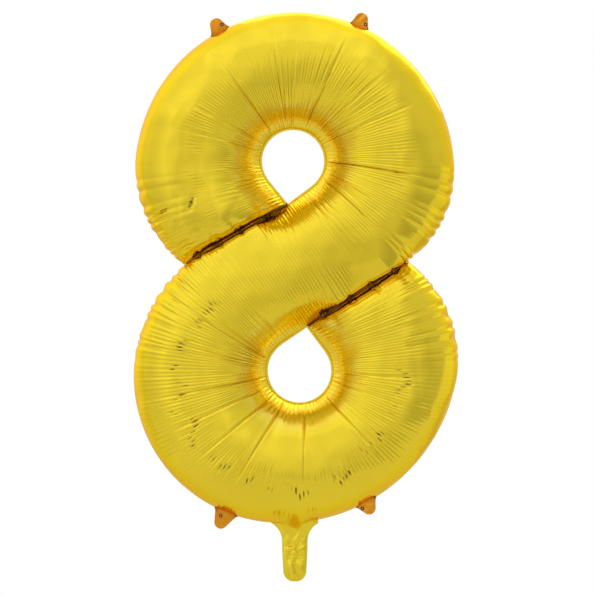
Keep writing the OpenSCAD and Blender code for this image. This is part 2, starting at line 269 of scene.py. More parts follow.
def smoothed(rows, width):
    """Rows smoothed along their first axis, both ends held."""
    reach = int(3 * width) + 1
    weights = np.exp(-0.5 * (np.arange(-reach, reach + 1) / width) ** 2)
    weights /= weights.sum()
    head = 2 * rows[0] - rows[reach:0:-1]
    tail = 2 * rows[-1] - rows[-2:-reach - 2:-1]
    padded = np.concatenate([head, rows, tail])
    if rows.ndim == 1:
        return np.convolve(padded, weights, "valid")
    return np.stack([np.convolve(padded[:, i], weights, "valid") for i in range(rows.shape[1])], 1)


# ---------------------------------------------------------------- foil relief
def smoothstep(low, high, x):
    share = np.clip((x - low) / (high - low), 0, 1)
    return share * share * (3 - 2 * share)


def window(start, end, soft, x):
    """1 between start and end, falling to 0 over soft on each side."""
    return smoothstep(start - soft, start, x) * (1 - smoothstep(end, end + soft, x))


# A whole turn in radians, for the waves' random starts
TURN = 6.283


def wander(seed, x, scale):
    """Smooth random wave of x between about -1 and 1, its bends about scale apart."""
    draw = np.random.RandomState(seed)
    total = np.zeros_like(x, dtype=float)
    for _ in range(5):
        total += np.sin(2 * np.pi * x / (scale * draw.uniform(0.7, 1.8)) + draw.uniform(0, TURN))
    return total / 2.6


def ripple(seed, x, wave):
    """Fine pleats along x: waves of nearly one length that drift in and out of step."""
    draw = np.random.RandomState(seed)
    total = np.zeros_like(x, dtype=float)
    for stretch in (0.86, 0.96, 1.0, 1.03, 1.13):
        total += np.sin(2 * np.pi * x / (wave * stretch) + draw.uniform(0, TURN))
    return total / 2.4


def swell(seed, x, z, wave):
    """Broad soft swells over the plane."""
    draw = np.random.RandomState(seed)
    total = np.zeros_like(x, dtype=float)
    for _ in range(7):
        heading, length = draw.uniform(0, np.pi), wave * draw.uniform(0.7, 1.5)
        total += np.sin(2 * np.pi * (x * np.cos(heading) + z * np.sin(heading)) / length
                        + draw.uniform(0, TURN))
    return total / 3.2


# Long sharp creases: where each starts round its eye in degrees, how far it reaches across the tube
# as a share of its width, and how deep it is in millimetres
UPPER_CREASES = [(164, 0.62, 1.6), (151, 0.66, 1.2), (127, 0.80, 2.2), (101, 0.82, 2.0),
                 (92, 0.60, 1.5), (70, 0.78, 2.2), (48, 0.70, 1.5), (30, 0.74, 2.2),
                 (-2, 0.72, 2.4), (-28, 0.62, 2.2)]
LOWER_CREASES = [(160, 0.72, 2.4), (190, 0.78, 2.4), (206, 0.70, 1.8), (223, 0.74, 2.2),
                 (244, 0.74, 2.2), (277, 0.76, 2.2), (316, 0.76, 2.4), (343, 0.44, 1.5),
                 (357, 0.66, 1.9)]
# Creases across the diagonal: step along the tube, reach from that edge, depth
DIAGONAL_CREASES_B = [(46.6, 0.42, 1.8)]
DIAGONAL_CREASES_A = [(58.4, 0.46, 1.6), (60.6, 0.42, 1.5)]


def upper_step(degrees):
    """The step along the tube that lies at an angle round the upper eye."""
    marks = [-52, -28, 0, 178, 217]
    steps = [45, 43, 35, 9, 5]
    return float(np.interp(degrees, marks, steps))


def lower_step(degrees):
    """The step along the tube that lies at an angle round the lower eye."""
    marks = [124, 152, 180, 358, 397]
    steps = [59, 61, 69, 95, 99]
    return float(np.interp(degrees, marks, steps))


def reference_runs(fine=4):
    """Arc length along both edges of the outline, at fine points to a step."""
    edges = tube_edges(0, 0, 0, fine)
    runs = [np.concatenate([[0], np.cumsum(np.linalg.norm(np.diff(e, axis=0), axis=1))])
            for e in edges]
    return np.arange(len(edges[0])) / fine, runs


RUN_STEPS, (RUN_A, RUN_B) = reference_runs()
# Where each edge's seam is gathered, in steps, the gathers' length, and their wave's middle level
GATHERED = {"a": ((0, 8), (35, 44)), "b": ((60, 68), (96, 104))}
GATHER_WAVE, GATHER_LEVEL = 21.0, 0.6


def gather(k, edge):
    """The gathered seam's wave (0 where it is pinched) and how strong it is, at each step."""
    run = np.interp(k, RUN_STEPS, RUN_A if edge == "a" else RUN_B)
    wave = np.abs(np.sin(np.pi * (run / GATHER_WAVE + 0.4 * wander(3, run, 60))))
    amount = sum(window(lo + 2, hi - 2, 3.0, k) for lo, hi in GATHERED[edge])
    return wave, amount


def scalloped(a, b, fine, depth):
    """Both edges drawn in by up to depth where the seam is gathered, near the waist."""
    k = np.arange(len(a)) / fine
    inward = b - a
    inward /= np.linalg.norm(inward, axis=1)[:, None]
    wave_a, amount_a = gather(k, "a")
    wave_b, amount_b = gather(k, "b")
    a = a + inward * ((1 - wave_a) * amount_a * depth)[:, None]
    b = b - inward * ((1 - wave_b) * amount_b * depth)[:, None]
    return a, b


# Powers of the tube's section beside the outer seam, the waist welds and the eyes
RIM_POWER, WELD_POWER, EYE_POWER = 1.2, 0.23, 1.4
# The closed ends: how many steps one takes to rise, and the powers of its arch
END_STEPS, END_POWER, END_ARCH = 4.0, 2.5, 0.16
# By the filling neck: its middle, how far the sheet is drawn down over what width, how much slacker
# it is over what width, over what width it has no pleats, and the height that is below all else
NECK_X, NECK_DIP, NECK_DIP_WIDTH, NECK_SLACK, NECK_SLACK_WIDTH = -2.0, 28, 20, 3.0, 26
NECK_CALM_WIDTH, BOTTOM_RIM = 45, -300

# Broad swells: height and wavelength
SWELLS = ((1.3, 120), (0.5, 48))
# Pleats: the heights and wavelengths of the fine and the wide ones
FINE_PLEAT, FINE_WAVE, WIDE_PLEAT, WIDE_WAVE = 0.16, 5.6, 0.32, 10.4
# Puckers at the eyes, with their wavelength, and at the gathered rims
EYE_PUCKER, EYE_WAVE, RIM_PUCKER = 0.5, 6.0, 1.7
# Depths of the dashes that end the pleats, and of the fold near the tube's start
DASH_DEPTH, FOLD_DEPTH = 2.4, 4.5
# Height of the tube under which the crinkles fade away
FADE_HEIGHT = 9
# A waist weld's length, and where its pinches lie as shares of it
WELD_LENGTH = 112.0
PINCHES = (0.16, 0.38, 0.60, 0.84)
# The inner skin: its points are every so many rows and columns of the outer one's, drawn in and
# lowered by so many millimetres
INNER_STEP, INNER_ACROSS, INNER_INSET, INNER_DROP = 2, 4, 1.2, 4.5

# Dents where a fold ends: place in the plane, half length, half width, heading and depth
Dent = namedtuple("Dent", "x z length width heading depth")
DENTS = [Dent(-174, 155, 14, 4.5, 75, 7.0), Dent(-120, 118, 60, 9, 62, 2.0),
         Dent(-205, 120, 40, 7, 80, 1.6), Dent(196, 60, 55, 10, 62, 1.8),
         Dent(214, 250, 60, 12, 100, 1.6), Dent(150, -330, 60, 10, 40, 1.8),
         Dent(150, -20, 45, 8, 75, 1.8), Dent(205, -170, 80, 12, 95, 1.8),
         Dent(-190, 300, 60, 12, 55, 1.4)]
# The first of them is the sharp one, darkened with painted shade over this half length and half width
PINCHED_LENGTH, PINCHED_WIDTH = 11, 3.5
# Steps over which the upper lobe passes into the diagonal, and the diagonal into the lower lobe
UPPER_ENDS, LOWER_STARTS = (46, 52), (52, 58)


def pinched(off):
    """Depth of a pinch square to a weld: a soft hollow with a sharp middle, off away from it."""
    return 2.6 * np.exp(-(off / 2.6) ** 2) + 2.4 * np.exp(-np.abs(off) / 1.2)


class Skin:
    """One inflated foil sheet as a grid: rows along the tube, columns across it."""

    def __init__(self, shape, fine, across, seed):
        self.shape, self.fine, self.seed = shape, fine, seed
        a, b = tube_edges(shape.rim / MM, shape.eye_rim / MM, shape.weld / MM / 2, fine)
        self.k = np.arange(len(a))[:, None] / fine
        self.t = np.linspace(0, 1, across + 1)[None, :]
        self.a, self.b = scalloped(a, b, fine, shape.scallop / MM)
        self.plan, self.height = self.sections(self.t)
        self.measure_rows()

    def sections(self, t):
        """Where the smooth tube lies in the plane, and how high it stands."""
        turn = np.pi * t
        lean = np.interp(self.k, (44, 50, 54, 60), (-0.045, 0, 0, 0.045))
        share = (1 - np.cos(turn)) / 2 + lean * np.sin(turn) ** 2
        plan = self.a[:, None] + (self.b - self.a)[:, None] * share[..., None]
        plan[..., 1] -= NECK_DIP * self.at_neck(NECK_DIP_WIDTH) * smoothstep(0.45, 1, t)
        end = np.minimum(1, np.minimum(self.k, N_STEPS - self.k) / END_STEPS)
        rise = np.maximum(0, 1 - (1 - end) ** END_POWER) ** END_ARCH
        crown = self.shape.depth / MM / 2
        return plan, crown * rise * np.sin(turn) ** self.slackness(t)

    def slackness(self, t):
        """The section's power: under 1 it is boxy, as at the welds, over 1 slack, as at the eyes."""
        at_a = np.interp(self.k, (41, 45, 51, 53.5), (RIM_POWER, WELD_POWER, WELD_POWER, EYE_POWER))
        at_b = np.interp(self.k, (50.5, 53, 59, 63), (EYE_POWER, WELD_POWER, WELD_POWER, RIM_POWER))
        near_a = 1 - smoothstep(0, 0.55, t)
        near_b = 1 - smoothstep(0, 0.55, 1 - t)
        at_b = at_b + NECK_SLACK * self.at_neck(NECK_SLACK_WIDTH)
        return 1 + near_a * (at_a - 1) + near_b * (at_b - 1)

    def at_neck(self, width):
        """1 on the row that meets the filling neck, falling away over width on both sides."""
        return np.exp(-((self.b[:, :1] - NECK_X) / width) ** 2) * (self.b[:, 1:] < BOTTOM_RIM)

    def measure_rows(self):
        """Length along the tube at its middle and its edges, and how far apart the steps are."""
        middle = self.plan[:, self.plan.shape[1] // 2]
        run = np.linalg.norm(np.diff(middle, axis=0), axis=1)
        self.run = np.concatenate([[0], np.cumsum(run)])[:, None]
        self.edge_run = []
        for rim in (self.a, self.b):
            step = np.linalg.norm(np.diff(rim, axis=0), axis=1)
            self.edge_run.append(np.concatenate([[0], np.cumsum(step)])[:, None])
        rows = np.gradient(self.plan, axis=0)
        self.pitch = np.linalg.norm(rows, axis=2) * self.fine

    def creases(self):
        """Each long crease: how far every point lies off it, its strength there and its depth."""
        for rows, step_of, e in ((UPPER_CREASES, upper_step, 1 - self.t),
                                 (LOWER_CREASES, lower_step, self.t),
                                 (DIAGONAL_CREASES_B, float, 1 - self.t),
                                 (DIAGONAL_CREASES_A, float, self.t)):
            for place, reach, depth in rows:
                along = smoothstep(0.03, 0.14, e) * (1 - smoothstep(reach - 0.22, reach, e))
                yield (self.k - step_of(place)) * self.pitch, along, depth

    def facets(self, rows, step_of, e):
        """The foil bellies out a little between one long crease and the next."""
        steps = sorted(step_of(place) for place, _, _ in rows)
        total = np.zeros_like(self.height)
        for low, high in zip(steps[:-1], steps[1:]):
            share = np.clip((self.k - low) / (high - low), 0, 1)
            width = min(1.0, (high - low) / 3.5)
            total += width * (1 - (2 * share - 1) ** 2)
        return 1.5 * total * smoothstep(0.04, 0.25, e) * (1 - smoothstep(0.5, 0.85, e))

    def relief(self):
        """Height of the crinkles above the smooth tube, in millimetres."""
        total = 0
        for number, (height, wave) in enumerate(SWELLS):
            total = total + height * swell(self.seed + number, self.plan[..., 0],
                                           self.plan[..., 1], wave)
        for off, along, depth in self.creases():
            groove = -np.exp(-np.abs(off) / 1.5) + 0.4 * np.exp(-(off / 6) ** 2)
            total += 1.3 * depth * groove * along
        total += self.facets(UPPER_CREASES, upper_step, 1 - self.t)
        total += self.facets(LOWER_CREASES, lower_step, self.t)
        for part in (self.ribs, self.eye_puckers, self.rim_puckers, self.weld_puckers,
                     self.start_fold):
            total += part()
        for dent in DENTS:
            total += self.dented(dent)
        for row, column in ((0, 0), (N_STEPS, 1)):
            corner = np.exp(-((self.k - row) / 1.6) ** 2 - ((self.t - column) / 0.12) ** 2)
            total = total * (1 - 0.75 * corner)
        return total * np.minimum(1, self.height / FADE_HEIGHT)

    def dented(self, dent):
        """A soft sharp-bottomed valley, with a low swelling on both sides of it."""
        u, v = self.dent_axes(dent)
        along = np.exp(-(u / dent.length) ** 2)
        valley = np.exp(-np.abs(v) / dent.width) - 0.4 * np.exp(-(v / (3 * dent.width)) ** 2)
        return -dent.depth * along * valley

    def dent_axes(self, dent):
        """How far every point lies along a dent's line and beside it."""
        c, s = math.cos(math.radians(dent.heading)), math.sin(math.radians(dent.heading))
        dx, dz = self.plan[..., 0] - dent.x, self.plan[..., 1] - dent.z
        return dx * c + dz * s, -dx * s + dz * c

    def fold_line(self):
        """The fold that crosses the outer edge near the tube's start."""
        off = (self.k - 4.1 - 1.9 * self.t) * self.pitch
        return np.exp(-np.abs(off) / 2.2) * (1 - smoothstep(0.26, 0.38, self.t))

    def start_fold(self):
        """That fold, and the ribs between it and the weld."""
        ribs = ripple(self.seed + 14, self.run, FINE_WAVE) * window(1.0, 3.9, 0.6, self.k)
        band = smoothstep(0.03, 0.1, self.t) * (1 - smoothstep(0.24, 0.34, self.t))
        return -FOLD_DEPTH * self.fold_line() + 0.7 * ribs * band

    def across_from_eye(self):
        """Each row's share in the upper and the lower lobe, and each point's way from its eye.

        The way is a share of the tube's width, given smooth and then wavering as the dashes do.
        """
        upper = 1 - smoothstep(*UPPER_ENDS, self.k)
        lower = smoothstep(*LOWER_STARTS, self.k)
        e = upper * (1 - self.t) + lower * self.t + (1 - upper - lower) * 0.45
        waver = 0.04 * wander(self.seed + 3, self.run, 45) + 0.015 * wander(self.seed + 4, self.run, 9)
        return upper, lower, e, e + waver

    def pleat_band(self):
        """Where the fine pleats lie: inside the crown up above, outside it round the lower lobe."""
        upper, lower, e, ragged = self.across_from_eye()
        near = smoothstep(0.08, 0.22, e) * (1 - smoothstep(0.48, 0.64, ragged))
        far = smoothstep(0.42, 0.56, ragged) * (1 - smoothstep(0.74, 0.96, ragged))
        calm = window(0, 10, 3, self.k) * smoothstep(0.28, 0.4, ragged)
        inside = window(60, 71, 3, self.k) + window(91, 102, 3, self.k)
        low = np.maximum(far * (1 - 0.7 * window(92, 104, 3, self.k)), near * inside)
        low = low * (1 - self.at_neck(NECK_CALM_WIDTH) * smoothstep(0.6, 0.8, e))
        return upper * near * (1 - calm) + lower * low + (1 - upper - lower) * near

    def by_eye(self):
        """Where a paler painted light goes: 1 beside the eye's seam, falling to 0 where the sheet
        turns to face the front.
        """
        upper, lower, e, _ = self.across_from_eye()
        ring = (0.15 + 0.85 * smoothstep(0.06, 0.15, e)) * (1 - smoothstep(0.18, 0.32, e))
        return (upper + lower) * ring

    def dashes(self):
        """Short deep pinches where the pleats end, in a broken ring round the crown."""
        _, lower, _, ragged = self.across_from_eye()
        fine = ripple(self.seed + 6, self.run, FINE_WAVE)
        where = lower * window(62, 97, 2, self.k) + 0.35 * (1 - lower)
        gaps = smoothstep(-0.9, -0.1, wander(self.seed + 15, self.run, 60))
        place = np.interp(self.k, (50, 62, 68, 84, 90), (0.5, 0.53, 0.58, 0.59, 0.51))
        ring = np.exp(-((ragged - place) / 0.018) ** 2)
        return ring * np.clip(2.4 * (fine - 0.2), 0, 1) * where * gaps

    def marks(self):
        """Painted shade: where the foil is pinched so tightly that it would look dark, its colour is
        darkened: dashes, creases, small folds.
        """
        total = self.dashes() + 0.75 * self.fold_line()
        for off, along, depth in self.creases():
            total += 0.24 * depth * along * np.exp(-np.abs(off) / 0.9)
        u, v = self.dent_axes(DENTS[0])
        return total + np.exp(-(u / PINCHED_LENGTH) ** 2 - (v / PINCHED_WIDTH) ** 2)

    def ribs(self):
        """Fine pleats across the tube, with the dash ring where they end."""
        run = self.run
        strength = np.clip(0.75 + 0.4 * wander(self.seed + 5, run, 70), 0.15, 1.2)
        pleats = (FINE_PLEAT * ripple(self.seed + 6, run, FINE_WAVE)
                  + WIDE_PLEAT * ripple(self.seed + 7, run, WIDE_WAVE))
        return self.pleat_band() * strength * pleats - DASH_DEPTH * self.dashes()

    def eye_puckers(self):
        """Short puckers where the sheet turns in to the eyes' seams."""
        upper, lower, _, _ = self.across_from_eye()
        total = 0
        for edge_run, weight, e in ((self.edge_run[1], upper, 1 - self.t),
                                    (self.edge_run[0], lower, self.t)):
            band = smoothstep(0.03, 0.09, e) * (1 - smoothstep(0.12, 0.26, e))
            wave = ripple(self.seed + 9, edge_run, EYE_WAVE)
            total = total + weight * band * EYE_PUCKER * wave
        return total

    def rim_puckers(self):
        """The gathered seam's pinches run on into the sheet."""
        total = 0
        for edge, e in (("a", self.t), ("b", 1 - self.t)):
            wave, amount = gather(self.k, edge)
            band = smoothstep(0.0, 0.05, e) * (1 - smoothstep(0.05, 0.19, e))
            total = total + amount * band * RIM_PUCKER * (wave - GATHER_LEVEL)
        return total

    def weld_puckers(self):
        """Pinches that run square to the waist welds, on the tube's ends and along its diagonal."""
        total = 0
        share = (1 - np.cos(np.pi * self.t)) / 2
        for closed_end in (0, N_STEPS):
            near = 1 - smoothstep(0, 1, np.abs(self.k - closed_end) / 3.0)
            for pinch in PINCHES:
                total = total - near * pinched((share - pinch) * WELD_LENGTH)
            total = total + near ** 2 * 0.3 * ripple(self.seed + 12, share * 180 + 0 * self.k, 12.0)
        for start, end, e in ((B_TIP, B_NOTCH, 1 - self.t), (A_NOTCH, A_TIP, self.t)):
            near = (1 - smoothstep(0.02, 0.16, e)) * window(start, end, 0.5, self.k)
            share = (self.k - start) / (end - start)
            for pinch in PINCHES:
                total = total - near * pinched((share - 1 + pinch) * WELD_LENGTH)
        return total

    def points(self):
        """The outer surface in metres, front sheet: crinkles pushed along the smooth normal."""
        base = np.stack([self.plan[..., 0], -self.height, self.plan[..., 1]], -1)
        along, across = np.gradient(base, axis=0), np.gradient(base, axis=1)
        normal = np.cross(along, across)
        size = np.linalg.norm(normal, axis=2, keepdims=True)
        normal /= np.maximum(size, 1e-9)
        flip = np.sign(normal[:, :, 1].mean())
        normal *= -flip
        moved = base + normal * self.relief()[..., None]
        moved[..., 1] = np.minimum(moved[..., 1], 0) - self.shape.lift / MM
        return moved * MM

    def inner_points(self, rows):
        """A plain inner skin a little inside the outer one, coarser in both directions."""
        columns = np.arange(0, self.t.shape[1], INNER_ACROSS)
        plan = self.plan[rows][:, columns]
        height = self.height[rows][:, columns]
        middle = plan.mean(axis=1, keepdims=True)
        reach = np.linalg.norm(plan - middle, axis=2, keepdims=True)
        plan = middle + (plan - middle) * np.maximum(0, 1 - INNER_INSET / np.maximum(reach, 1e-6))
        for row, neighbour in ((0, 1), (-1, -2)):
            plan[row] += 0.08 * (plan[neighbour] - plan[row])
        height = np.maximum(0, height - INNER_DROP)
        low = np.stack([plan[..., 0], -height - self.shape.lift / MM, plan[..., 1]], -1)
        return low * MM


# The welded bands: half their thickness, how far they reach in under the sheets, the height of the
# waves in the outer one and in the eyes' ones, and the points along a waist weld
BAND_HALF, SEAM_LIP, SEAM_WAVE, EYE_SEAM_WAVE, WELD_POINTS = 0.15, 2.0, 2.2, 0.5, 80


def grid_faces(rows, columns, start=0, turned=False):
    """Quads over a grid of rows by columns points."""
    i = np.arange(rows - 1)[:, None] * columns + np.arange(columns - 1)[None, :] + start
    quads = np.stack([i, i + 1, i + columns + 1, i + columns], -1).reshape(-1, 4)
    return quads[:, ::-1] if turned else quads


def new_mesh(name, points, faces):
    """A smooth-shaded object at the origin, from points in metres."""
    mesh = bpy.data.meshes.new(name)
    mesh.from_pydata(np.asarray(points).reshape(-1, 3).tolist(), [], [list(f) for f in faces])
    mesh.validate()
    mesh.update()
    mesh.shade_smooth()
    piece = bpy.data.objects.new(name, mesh)
    bpy.context.scene.collection.objects.link(piece)
    return piece


def tube_faces(rows, across, closed):
    """Quads round a tube of rows of across points; closed joins its last row to its first."""
    i = np.arange(rows if closed else rows - 1)[:, None]
    first, after = i * across, (i + 1) % rows * across
    j = np.arange(across)[None, :]
    following = (j + 1) % across
    faces = np.stack([first + j, first + following, after + following, after + j], -1)
    return faces.reshape(-1, 4).tolist()


def ring_faces(rows, across):
    """Faces of a flattened tube of rows, its two ends closed by strips."""
    faces = tube_faces(rows, across, False)
    for row in (0, rows - 1):
        first = row * across
        faces += [[first + n, first + n + 1, first + across - 2 - n, first + across - 1 - n]
                  for n in range(across // 2 - 1)]
    return faces


def ribbon(name, inner, outer, lift, closed, columns=4):
    """A flat welded band between two point rows in the X-Z plane, its waves along Y in lift."""
    share = np.linspace(0, 1, columns + 1)
    plan = inner[:, None] + (outer - inner)[:, None] * share[None, :, None]
    rise = lift[:, None] * share[None, :] ** 1.5
    front = np.stack([plan[..., 0], rise - BAND_HALF, plan[..., 1]], -1)
    back = np.stack([plan[..., 0], rise + BAND_HALF, plan[..., 1]], -1)
    ring = np.concatenate([front, back[:, ::-1]], axis=1)
    rows, across = ring.shape[:2]
    faces = tube_faces(rows, across, closed)
    if not closed:
        faces.append(list(range(across))[::-1])
        faces.append([(rows - 1) * across + n for n in range(across)])
    piece = new_mesh(name, ring * MM, faces)
    outward(piece)
    return piece


def outward(piece):
    """Turns a closed mesh's faces outwards."""
    mesh = bmesh.new()
    mesh.from_mesh(piece.data)
    bmesh.ops.recalc_face_normals(mesh, faces=mesh.faces)
    mesh.to_mesh(piece.data)
    mesh.free()


# ---------------------------------------------------------------- materials
class Value:
    """A shader socket that adds its own Math nodes when it is used in arithmetic."""

    def __init__(self, tree, socket):
        self.tree, self.socket = tree, socket

    def math(self, operation, other, flip=False):
        first, second = (other, self) if flip else (self, other)
        return self.tree.add("ShaderNodeMath", {"operation": operation}, {0: first, 1: second})

    def __add__(self, other):
        return self.math("ADD", other)

    __radd__ = __add__

    def __sub__(self, other):
        return self.math("SUBTRACT", other)

    def __rsub__(self, other):
        return self.math("SUBTRACT", other, True)

    def __mul__(self, other):
        return self.math("MULTIPLY", other)

    __rmul__ = __mul__


class Shader:
    """The nodes of a material or a world."""

    def __init__(self, owner):
        owner.use_nodes = True
        self.owner = owner
        self.nodes = owner.node_tree.nodes
        self.links = owner.node_tree.links
        self.surface = self.nodes.get("Principled BSDF")

    def add(self, kind, settings=(), inputs=(), out=0):
        """Adds a node: its settings first, then its sockets' values or links."""
        node = self.nodes.new(kind)
        for key, value in dict(settings).items():
            if key == "stops":
                set_stops(node.color_ramp, value)
            else:
                setattr(node, key, value)
        for key, value in dict(inputs).items():
            self.put(node.inputs[key], value)
        return Value(self, node.outputs[out]) if len(node.outputs) else node

    def put(self, socket, value):
        """Links a value to a socket, or sets a plain number or colour on it."""
        if isinstance(value, Value):
            self.links.new(value.socket, socket)
        else:
            socket.default_value = value

    def set(self, **sockets):
        """Fills the surface's sockets, named with underscores for spaces."""
        for key, value in sockets.items():
            self.put(self.surface.inputs[key.replace("_", " ")], value)

    def mix_colour(self, factor, first, second):
        return self.add("ShaderNodeMix", {"data_type": "RGBA"},
                        {"Factor": factor, 6: first, 7: second}, 2)

    def ramp(self, value, low, high):
        """0 below low, 1 above high, smooth between."""
        return self.add("ShaderNodeMapRange", {"interpolation_type": "SMOOTHSTEP"},
                        {"Value": value, "From Min": low, "From Max": high})


def set_stops(ramp, stops):
    """Gives a colour ramp its stops, each a place and a colour."""
    while len(ramp.elements) < len(stops):
        ramp.elements.new(0.5)
    for element, (place, colour) in zip(ramp.elements, stops):
        element.position, element.color = place, colour


def metallised(name, colour, shade, roughness, crumple, pleats=False, scorch=None,
               coat=0.16, eye=None):
    """Metallised plastic film: a mirror gloss with faint crumples under a clear layer.

    The painted shade colour darkens the piece where its own attribute of that name says, and the eye
    colour is a paler painted light where its eye attribute says.
    """
    s = Shader(bpy.data.materials.new(name))
    place = s.add("ShaderNodeTexCoord", out=3)
    cloud = s.add("ShaderNodeTexNoise", {}, {"Vector": place, "Scale": 9.0, "Detail": 3.0})
    smudge = s.add("ShaderNodeTexNoise", {}, {"Vector": place, "Scale": 60.0, "Detail": 4.0})
    grain = s.add("ShaderNodeTexNoise", {}, {"Vector": place, "Scale": 260.0, "Detail": 3.0})
    drift = s.ramp(cloud, 0.35, 0.7)
    height = grain * 0.35 + smudge * 0.65
    if pleats:
        sheet = s.add("ShaderNodeUVMap", {"uv_map": "sheet"})
        stretched = s.add("ShaderNodeMapping", {}, {"Vector": sheet, "Scale": (1.0, 0.1, 1.0)})
        pleat = s.add("ShaderNodeTexWave", {"wave_profile": "SIN"},
                      {"Vector": stretched, "Scale": 60.0, "Distortion": 5.0, "Detail": 1.0,
                       "Detail Scale": 0.35}, 1)
        band = s.add("ShaderNodeAttribute", {"attribute_name": "pleats"}, out=2)
        height = height + pleat * band * 4.5
    bump = s.add("ShaderNodeBump", {}, {"Height": height, "Distance": crumple,
                                        "Strength": 1.0})
    tone = s.mix_colour(drift, (*colour, 1), (*shade, 1))
    # Painted light: the eye colour pales the base colour beside the eyes.
    if eye:
        near = s.add("ShaderNodeAttribute", {"attribute_name": "eye"}, out=2)
        tone = s.mix_colour(near, tone, (*eye, 1))
    # Painted shade: the shade colour darkens the base colour where the piece's attribute says.
    if scorch:
        shade_amount = s.add("ShaderNodeAttribute", {"attribute_name": "scorch"}, out=2)
        tone = s.mix_colour(s.ramp(shade_amount + smudge * 0.5 - 0.25, 0.15, 0.95), tone, (*scorch, 1))
    s.set(Base_Color=tone, Metallic=1.0,
          Roughness=s.ramp(smudge, 0.3, 0.75) * 0.07 + roughness, Normal=bump)
    s.set(Specular_Tint=(0.95, 0.62, 0.10, 1), Coat_Weight=coat, Coat_Roughness=0.2)
    return s.owner


def clear_film(name):
    """Thin clear plastic, a little hazy."""
    s = Shader(bpy.data.materials.new(name))
    place = s.add("ShaderNodeTexCoord", out=3)
    haze = s.add("ShaderNodeTexNoise", {}, {"Vector": place, "Scale": 45.0, "Detail": 3.0})
    bump = s.add("ShaderNodeBump", {}, {"Height": haze, "Distance": 0.0002})
    s.set(Base_Color=s.mix_colour(haze, (0.86, 0.88, 0.88, 1), (0.76, 0.79, 0.80, 1)),
          Roughness=haze * 0.2 + 0.12, Normal=bump, Alpha=haze * 0.3 + 0.35)
    return s.owner


def dress(piece, material, body, slot, *stands_for):
    """Gives a finished piece its material and its body, and hides the CAD nodes that it stands for."""
    piece.data.materials.clear()
    piece.data.materials.append(material)
    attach(piece, body)
    if stands_for:
        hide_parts(*stands_for)


# ---------------------------------------------------------------- settings
class FoilShape(bpy.types.PropertyGroup):
    depth: bpy.props.FloatProperty(
        name="Depth", description="Inflated depth of the tube, front to back",
        default=0.168, unit="LENGTH")
    rim: bpy.props.FloatProperty(
        name="Outer seam", description="Width of the flat seam round the outside",
        default=0.0006, unit="LENGTH")
    eye_rim: bpy.props.FloatProperty(
        name="Eye seam", description="Width of the flat seam round each eye",
        default=0.003, unit="LENGTH")
    weld: bpy.props.FloatProperty(
        name="Waist weld", description="Width of the flat weld at each side of the waist",
        default=0.0012, unit="LENGTH")
    lift: bpy.props.FloatProperty(
        name="Lift", description="How far the sheets' rims stay from the middle plane",
        default=0.0002, unit="LENGTH")
    scallop: bpy.props.FloatProperty(
        name="Scallop", description="How far the gathered seam is drawn in between its lobes",
        default=0.0035, unit="LENGTH")
    fine: bpy.props.IntProperty(
        name="Rows", description="Rows of the grid to a step along the tube", default=14)
    across: bpy.props.IntProperty(
        name="Columns", description="Columns of the grid across the tube", default=60)


class FoilFinish(bpy.types.PropertyGroup):
    gold: bpy.props.FloatVectorProperty(
        name="Gold", description="Colour of the metallised sheets",
        default=(0.92, 0.705, 0.034), subtype="COLOR")
    deep_gold: bpy.props.FloatVectorProperty(
        name="Deep gold", description="Colour that the sheets drift towards",
        default=(0.89, 0.665, 0.029), subtype="COLOR")
    # Painted light: a paler tone beside the eyes, that offsets the deep orange which light bouncing
    # between the steep sheets gives there.
    eye_gold: bpy.props.FloatVectorProperty(
        name="Eye gold", description="Paler colour of the sheets beside the seams of the eyes",
        default=(0.91, 0.74, 0.12), subtype="COLOR")
    tab_gold: bpy.props.FloatVectorProperty(
        name="Tab gold", description="Colour of the hanging tabs",
        default=(0.88, 0.37, 0.020), subtype="COLOR")
    tab_deep: bpy.props.FloatVectorProperty(
        name="Deep tab gold", description="Colour that the tabs drift towards",
        default=(0.74, 0.27, 0.014), subtype="COLOR")
    # Painted shade: the tabs' dark brown stands for the shade at their roots, along their edges and
    # round their holes.
    tab_brown: bpy.props.FloatVectorProperty(
        name="Tab brown", description="Colour of the tabs' roots and punched holes",
        default=(0.20, 0.045, 0.012), subtype="COLOR")
    # Painted shade: this dark brown stands for the shade deep in the waist grooves and in the sheets'
    # tight creases and dashes.
    weld_brown: bpy.props.FloatVectorProperty(
        name="Weld brown", description="Colour of the pinched welds at the waist",
        default=(0.12, 0.055, 0.020), subtype="COLOR")


def shape():
    return bpy.context.scene.foil_shape


def finish():
    return bpy.context.scene.foil_finish


QUICK_ROWS, QUICK_COLUMNS, SEAM_ROWS = 6, 36, 10
# How much longer the way across a sheet is over its swell than straight
HALF_GIRTH = 1.4


class FoilSheets(bpy.types.Operator):
    """Builds the front and back sheets, inflated and crinkled"""

    bl_idname = "foil.sheets"
    bl_label = "Foil sheets"

    def execute(self, context):
        look = finish()
        # This foil darkens creases, dashes and folds with painted shade and pales the sheet beside the
        # eyes with painted light.
        foil = metallised("gold_foil", look.gold, look.deep_gold, 0.16, 0.00012, pleats=True,
                          scorch=look.weld_brown, eye=look.eye_gold)
        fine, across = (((shape().fine, shape().across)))
        for name, seed, side in (("foil_front_sheet", 11, 1), ("foil_back_sheet", 31, -1)):
            skin = Skin(shape(), fine, across, seed)
            piece = sheet_piece(name, skin, side)
            dress(piece, foil, "balloon", "panel_foil",
                  "front_panel" if side > 0 else "back_panel")
        return {"FINISHED"}


